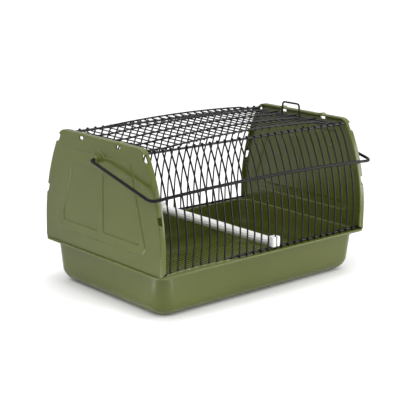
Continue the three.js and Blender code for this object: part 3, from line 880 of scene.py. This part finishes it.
def pressed_in(x, z, side):
    """How far a front wire is pressed inwards near the rim, easing out up the bar."""
    if side > 0:
        return 0.0
    up = min(max((z - PANEL_Z) / 34.0, 0.0), 1.0)
    return (tuck(x) - 0.2) * (1 - up * up * (3 - 2 * up))


def bar_path(x, side):
    """From the foot on the rim up the leaning side, and over the shoulder wire in a short hook."""
    sink = 0.5 + (1.2 * ledge(x) if side < 0 else 0.0)
    foot = PANEL_Z - sink
    points = [Vector((x, side * (PANEL_HALF_Y - BAR_INSET), foot + k * (LEAN_START + sink) / 5)) for k in range(5)]
    lean_steps = 18
    for i in range(lean_steps + 1):
        y, z = lean_point(BAR_INSET, SHOULDER_ANGLE * i / lean_steps)
        points.append(Vector((x, side * y, z)))
    for point in points:
        point.y -= side * pressed_in(x, point.z, side)
    hook = RAIL_RADIUS + BAR_RADIUS - 0.35
    centre = Vector((x, side * RAIL_Y, RAIL_Z))
    points.extend(arc_points(centre, Y * side, Z, hook, 12, 118, 7))
    return points


def base_wire_point(x, side):
    """The front base wire dips behind the ledge at its left end."""
    dip = 1.85 * ledge(max(x, -140.0)) if side < 0 else 0.0
    return Vector((x, side * abs(BASE_WIRE_Y) - side * pressed_in(x, PANEL_Z, side), BASE_WIRE_Z - dip))


def make_grille(word, side):
    shape = Shape()
    rail = [Vector((-RAIL_HALF_X + 2 * RAIL_HALF_X * k / 108, side * RAIL_Y, RAIL_Z)) for k in range(109)]
    shape.merge(sweep(rail, RAIL_RADIUS, sides=14))
    for i in range(BARS):
        x = (i - (BARS - 1) / 2) * BAR_PITCH
        path = bar_path(x, side)
        for k, point in enumerate(path):
            point.x += 0.04 * math.sin(0.7 * i + 0.35 * k)
        foot = Vector((x, side * (PANEL_HALF_Y - BAR_INSET), BASE_WIRE_Z))
        top = Vector((x, side * RAIL_Y, RAIL_Z + RAIL_RADIUS))
        shape.merge(sweep(path, welded(path, BAR_RADIUS, [foot, top], swell=0.22, reach=2.2), sides=12))
    finished(f"{word}_grille_wires", shape, 60.0, "cage", BLACK_WIRE, "black_wire", f"{word}_grille")

    steps = 216
    path = [base_wire_point(-BASE_WIRE_HALF_X + 2 * BASE_WIRE_HALF_X * k / steps, side) for k in range(steps + 1)]
    welds = [base_wire_point((i - (BARS - 1) / 2) * BAR_PITCH, side) for i in range(BARS)]
    wire = sweep(path, welded(path, RAIL_RADIUS, welds, swell=0.14), sides=14)
    finished(f"{word}_base_wire_coated", wire, 60.0, "cage", BLACK_WIRE, "black_wire", f"{word}_base_wire")


def make_rod(name, low, high, node):
    middle = (low + high) / 2
    radius = (high.z - low.z) / 2
    half = high.y - radius * 0.4
    path = [Vector((middle.x, -half + 2 * half * k / 40, middle.z)) for k in range(41)]
    ends = [path[0], path[-1]]
    finished(name, sweep(path, welded(path, RAIL_RADIUS, ends, swell=0.12), sides=16),
             60.0, "cage", BLACK_WIRE, "black_wire", node)


# ---- lid ---------------------------------------------------------------------------------------
LID_CROWN_Z = PANEL_Z + 125.0
LID_END_Z = PANEL_Z + 119.3


def lid_height(x):
    """The runners rise in a flat arch, step down on a short S near both ends and end level."""
    arch = LID_CROWN_Z - LID_ARCH * (x - LID_CROWN_X) ** 2
    past = min(max((abs(x) - LID_BEND_X) / (LID_DIP_X - LID_BEND_X), 0.0), 1.0)
    return arch + (LID_END_Z - arch) * past * past * (3 - 2 * past)


def make_lid():
    shape = Shape()
    cross_count = 2 * int(LID_END_X / BAR_PITCH) + 1
    cross_x = [(i - (cross_count - 1) / 2) * BAR_PITCH for i in range(cross_count)]
    runner_y = [-LID_HALF_Y + 2 * LID_HALF_Y * i / (LID_RUNNERS - 1) for i in range(LID_RUNNERS)]
    steps = 264
    for y in runner_y:
        path = []
        for k in range(steps + 1):
            x = -LID_END_X + 2 * LID_END_X * k / steps
            path.append(Vector((x, y, lid_height(x))))
        welds = [Vector((x, y, lid_height(x))) for x in cross_x]
        shape.merge(sweep(path, welded(path, LID_WIRE, welds, swell=0.1), sides=12))
    reach = LID_HALF_Y - 0.2
    for number, x in enumerate(cross_x):
        x = min(x, rest_low.x - CROSS_WIRE - 0.35)
        z = lid_height(x) - LID_WIRE - CROSS_WIRE + 0.35
        path = []
        for k in range(125):
            y = -reach + 2 * reach * k / 124
            path.append(Vector((x + 0.10 * math.sin(0.05 * y + number), y, z)))
        welds = [Vector((x, y, z)) for y in runner_y]
        shape.merge(sweep(path, welded(path, CROSS_WIRE, welds, swell=0.25, reach=1.9), sides=10))
    finished("lid_mesh_wires", shape, 60.0, "lid", BLACK_WIRE, "black_wire", "lid_mesh")


def make_eyes():
    centre_x, centre_z = (hinge_low.x + hinge_high.x) / 2, (hinge_low.z + hinge_high.z) / 2
    for word in ("front", "back"):
        low, high = box_mm(f"lid_hinge_eye_{word}")
        y = (low.y + high.y) / 2
        curl = arc_points(Vector((centre_x, y, centre_z)), X, Z, EYE_BEND, 50, 290, 28)
        tail_x = -(LID_END_X - 9.0)
        tail_z = lid_height(tail_x) - EYE_WIRE - 0.6
        last = curl[-1]
        tail = [last.lerp(Vector((tail_x, y, tail_z)), t) for t in (0.35, 0.7, 1.0)]
        finished(f"lid_hinge_eye_{word}_wire", sweep(curl + tail, EYE_WIRE, sides=14),
                 60.0, "lid", BLACK_WIRE, "black_wire", f"lid_hinge_eye_{word}")


def make_loop():
    x = (loop_low.x + loop_high.x) / 2
    foot_z, top_z = min(loop_low.z, lid_height(x) - 0.4), loop_high.z - LOOP_WIRE
    half = 13.0
    corners = [Vector((x, -half - 1.5, foot_z + 0.4)), Vector((x, -half, top_z)), Vector((x, half, top_z)),
               Vector((x, half + 1.5, foot_z + 0.4))]
    path = rounded(corners, 3.2, 10)
    finished("lid_finger_loop_wire", sweep(path, LOOP_WIRE, sides=16),
             60.0, "lid", BLACK_WIRE, "black_wire", "lid_finger_loop")


# ---- carry bail --------------------------------------------------------------------------------
def make_bail():
    pivot = Vector(joints["bail_swing"]["pos_m"]) / MM
    arm_x = bail_high.x - BAIL_WIRE
    reach, rest, bow = 99.6, math.radians(14.2), 4.5
    along = Vector((0, -math.cos(rest), -math.sin(rest)))
    across = Vector((0, -math.sin(rest), math.cos(rest)))
    pin_x = PANEL_FACE_X - 1.0
    corner, eye_bend = 7.0, 2.7

    def at(x, out, rise):
        return Vector((x, 0, pivot.z)) + along * out + across * rise

    bow_half = arm_x - corner - 0.3
    steps = 48
    across_bar = [-1 + 2 * i / steps for i in range(steps + 1)]
    crossbar = [at(bow_half * t, reach, bow * (1 - t ** 2)) for t in across_bar]
    left = rounded([at(-pin_x, 0, 0), at(-arm_x, 0, 0), at(-arm_x, reach / 2, 0)], eye_bend, 10)[:-1]
    left_corner = at(-arm_x, reach, 0)
    past_knee = crossbar[0] + (crossbar[0] - left_corner) * 0.02
    left_knee = rounded([at(-arm_x, reach / 2, 0), left_corner, past_knee], corner, 14)[:-1]
    right_knee = rounded([crossbar[-1], at(arm_x, reach, 0), at(arm_x, reach / 2, 0)], corner, 14)[1:]
    right = rounded([at(arm_x, reach / 2, 0), at(arm_x, 0, 0), at(pin_x, 0, 0)], eye_bend, 10)[1:]
    path = left + left_knee + crossbar[1:-1] + right_knee[:-1] + right
    finished("carry_bail_wire", sweep(path, BAIL_WIRE, sides=20, dome=4),
             60.0, "bail", BLACK_BAIL, "black_wire", "carry_bail")


# ---- perch -------------------------------------------------------------------------------------
PERCH_X = (perch_low.x + perch_high.x) / 2
PERCH_Z = (perch_low.z + perch_high.z) / 2
PERCH_RADIUS = (perch_high.z - perch_low.z) / 2
PERCH_FLUTES = 12
FLUTE_DEPTH = 0.35


def make_perch():
    """A fluted bar whose ends are turned down to plain collars."""
    half = perch_high.y
    stations = [(-half, 0.86), (-half + 0.25, 0.93), (-half + 0.7, 0.96), (-half + 4.0, 0.96), (-half + 4.6, 1.0)]
    middle = [(-half + 4.6 + (2 * half - 9.2) * k / 24, 1.0) for k in range(1, 24)]
    stations += middle + [(-y, s) for y, s in reversed(stations)]
    sides = PERCH_FLUTES * 8
    points, faces = [], []
    for y, scale in stations:
        plain = abs(y) > half - 4.3
        for k in range(sides):
            angle = 2 * math.pi * k / sides
            flute = 0.0 if plain else FLUTE_DEPTH * (0.5 - 0.5 * math.cos(PERCH_FLUTES * angle)) ** 0.7
            radius = PERCH_RADIUS * scale - flute
            points.append(Vector((PERCH_X + radius * math.sin(angle), y, PERCH_Z + radius * math.cos(angle))))
    count = len(stations)
    for i in range(count - 1):
        for k in range(sides):
            j = (k + 1) % sides
            faces.append([i * sides + k, i * sides + j, (i + 1) * sides + j, (i + 1) * sides + k])
    faces.append(list(range(sides)))
    faces.append([(count - 1) * sides + k for k in reversed(range(sides))])
    shape = Shape().add(points, faces)
    finished("perch_bar_fluted", shape, 35.0, "cage", WHITE_PLASTIC, "white_plastic", "perch_bar")


def clip_outline(half_x, y_in, y_out, side):
    """The clip seen from above: a block with fluted flanks and an open slot for the bar."""
    slot_half = BAR_RADIUS + 0.3
    bar_y = PANEL_HALF_Y - BAR_INSET
    chamfer = 1.0
    right = [(half_x - chamfer, y_in), (half_x, y_in + chamfer)]
    for k in range(1, 4):
        centre = y_in + chamfer + (y_out - y_in - 2 * chamfer) * (k - 0.5) / 3
        right += [(half_x, centre - 0.9), (half_x - 0.45, centre), (half_x, centre + 0.9)]
    right += [(half_x, y_out - chamfer), (half_x - chamfer, y_out), (slot_half + 0.6, y_out),
              (slot_half, y_out - 0.6)]
    right += [(slot_half, bar_y)]
    slot = [(slot_half * math.cos(a), bar_y - slot_half * math.sin(a))
            for a in (math.pi / 2 * k / 4 for k in range(1, 4))]
    half = right + slot + [(0.0, bar_y - slot_half)]
    mirrored = [(-x, y) for x, y in reversed(half[:-1])]
    return [(x, side * y) for x, y in half + mirrored]


def make_clip(word, side):
    low, high = box_mm(f"perch_clip_{word}")
    middle_x = (low.x + high.x) / 2
    half_x = (high.x - low.x) / 2
    y_in, y_out = sorted((abs(low.y), abs(high.y)))
    outline = clip_outline(half_x, y_in, y_out, side)
    block = between(*([Vector((middle_x + x, y, z)) for x, y in outline] for z in (low.z, high.z)))
    clip = to_object(f"perch_clip_{word}_moulding", block)
    outward(clip)
    soften_edges(clip, 0.25, 30.0)
    shade(clip, 35.0)
    hand_over(clip, "cage", WHITE_PLASTIC, "white_plastic", f"perch_clip_{word}")


# ---- stage, light and camera -------------------------------------------------------------------
FLOOR_HALF = 6.0
FLOOR_SHADE = 0.80
DOME_EDGE = 0.0
DOME_TOP = 2.15
HORIZON_TOP = 0.05
HORIZON_FADE = 0.08
HORIZON_GLOW = 1.05
# Area lights: name, place, target, size, watts and turn about the vertical in degrees
LIGHTS = (
    ("left_softbox", (-1.00, -0.50, 0.80), (-0.15, -0.02, 0.08), (0.5, 0.4), 1.6, 0.0),
    ("right_softbox", (0.62, -0.60, 0.20), (0.12, -0.10, 0.06), (0.5, 0.36), 4.0, 0.0),
    ("high_softbox", (-0.35, -0.95, 1.15), (0, 0, 0.12), (0.9, 0.5), 0.8, 0.0),
    ("top_softbox", (-0.10, -0.04, 0.75), (-0.04, 0.0, 0.0), (0.25, 0.25), 1.4, 0.0),
    ("left_pool", (-0.286, -0.032, 0.030), (-0.286, -0.032, 0.0), (0.17, 0.014), 0.22, -18.0),
    ("front_pool", (-0.088, -0.240, 0.030), (-0.088, -0.240, 0.0), (0.014, 0.17), 0.17, 18.0),
)
CAMERA_PLACE = (-0.8167, -0.9140, 0.3885)
CAMERA_YAW = 41.76
CAMERA_PITCH = 14.28
CAMERA_ROLL = 0.89
CAMERA_LENS = 97.85
CAMERA_SENSOR = 36.0


def make_floor():
    mesh = bpy.data.meshes.new("floor")
    corners = [(x * FLOOR_HALF, y * FLOOR_HALF, 0) for x, y in ((-1, -1), (1, -1), (1, 1), (-1, 1))]
    mesh.from_pydata(corners, [], [[0, 1, 2, 3]])
    floor = bpy.data.objects.new("floor", mesh)
    bpy.context.scene.collection.objects.link(floor)
    paint = bpy.data.materials.new("floor_paint")
    paint.use_nodes = True
    shader = next(n for n in paint.node_tree.nodes if n.type == "BSDF_PRINCIPLED")
    shader.inputs["Base Color"].default_value = (FLOOR_SHADE, FLOOR_SHADE, FLOOR_SHADE, 1)
    shader.inputs["Roughness"].default_value = 0.8
    shader.inputs["Specular IOR Level"].default_value = 0.1
    mesh.materials.append(paint)


def area_light(name, place, target, size, power, spin):
    light = bpy.data.lights.new(name, "AREA")
    light.shape = "RECTANGLE"
    light.size, light.size_y = size
    light.energy = power
    lamp = bpy.data.objects.new(name, light)
    lamp.location = place
    lamp.rotation_mode = "QUATERNION"
    aim = (Vector(target) - Vector(place)).to_track_quat("-Z", "Y")
    lamp.rotation_quaternion = Quaternion(Z, math.radians(spin)) @ aim
    bpy.context.scene.collection.objects.link(lamp)


def map_range(tree, source, from_low, from_high, to_low, to_high):
    node = tree.nodes.new("ShaderNodeMapRange")
    for name, value in (("From Min", from_low), ("From Max", from_high), ("To Min", to_low), ("To Max", to_high)):
        node.inputs[name].default_value = value
    tree.links.new(source, node.inputs["Value"])
    return node.outputs["Result"]


def make_light():
    """A dome that brightens towards the top over a pale horizon, four softboxes, and two bright pools of light on
    the floor by the near corner."""
    world = bpy.data.worlds.new("studio")
    world.use_nodes = True
    tree = world.node_tree
    direction = tree.nodes.new("ShaderNodeTexCoord").outputs["Generated"]
    split = tree.nodes.new("ShaderNodeSeparateXYZ")
    tree.links.new(direction, split.inputs["Vector"])
    dome = map_range(tree, split.outputs["Z"], 0.0, 1.0, DOME_EDGE, DOME_TOP)
    horizon = map_range(tree, split.outputs["Z"], HORIZON_TOP, HORIZON_TOP + HORIZON_FADE, HORIZON_GLOW, 0.0)
    brighter = tree.nodes.new("ShaderNodeMath")
    brighter.operation = "MAXIMUM"
    tree.links.new(dome, brighter.inputs[0])
    tree.links.new(horizon, brighter.inputs[1])
    tree.links.new(brighter.outputs["Value"], tree.nodes["Background"].inputs["Strength"])
    tree.nodes["Background"].inputs["Color"].default_value = (1.0, 1.0, 1.0, 1)
    bpy.context.scene.world = world
    for light in LIGHTS:
        area_light(*light)


def make_camera():
    """Looks down at the carrier's left front corner, turned by the yaw from +Y towards +X."""
    yaw, pitch, roll = (math.radians(a) for a in (CAMERA_YAW, CAMERA_PITCH, CAMERA_ROLL))
    forward = Vector((math.sin(yaw) * math.cos(pitch), math.cos(yaw) * math.cos(pitch), -math.sin(pitch)))
    level = Vector((math.cos(yaw), -math.sin(yaw), 0))
    upright = level.cross(forward)
    right = level * math.cos(roll) + upright * math.sin(roll)
    up = upright * math.cos(roll) - level * math.sin(roll)
    data = bpy.data.cameras.new("camera")
    data.lens = CAMERA_LENS
    data.sensor_width = CAMERA_SENSOR
    camera = bpy.data.objects.new("camera", data)
    turn = Matrix((right, up, -forward)).transposed()
    camera.rotation_mode = "QUATERNION"
    camera.rotation_quaternion = turn.to_quaternion()
    camera.location = CAMERA_PLACE
    bpy.context.scene.collection.objects.link(camera)
    bpy.context.scene.camera = camera


bpy.context.scene.view_settings.view_transform = "Standard"
make_camera()
make_light()
make_floor()
make_tray()
make_panel("left_end_panel_moulding", -1, "left_end_panel")
make_panel("right_end_panel_moulding", 1, "right_end_panel")
make_grille("front", FRONT)
make_grille("back", BACK)
make_rod("lid_hinge_rod_wire", hinge_low, hinge_high, "lid_hinge_rod")
make_rod("lid_rest_rod_wire", rest_low, rest_high, "lid_rest_rod")
make_lid()
make_eyes()
make_loop()
make_bail()
make_perch()
make_clip("front", FRONT)
make_clip("back", BACK)
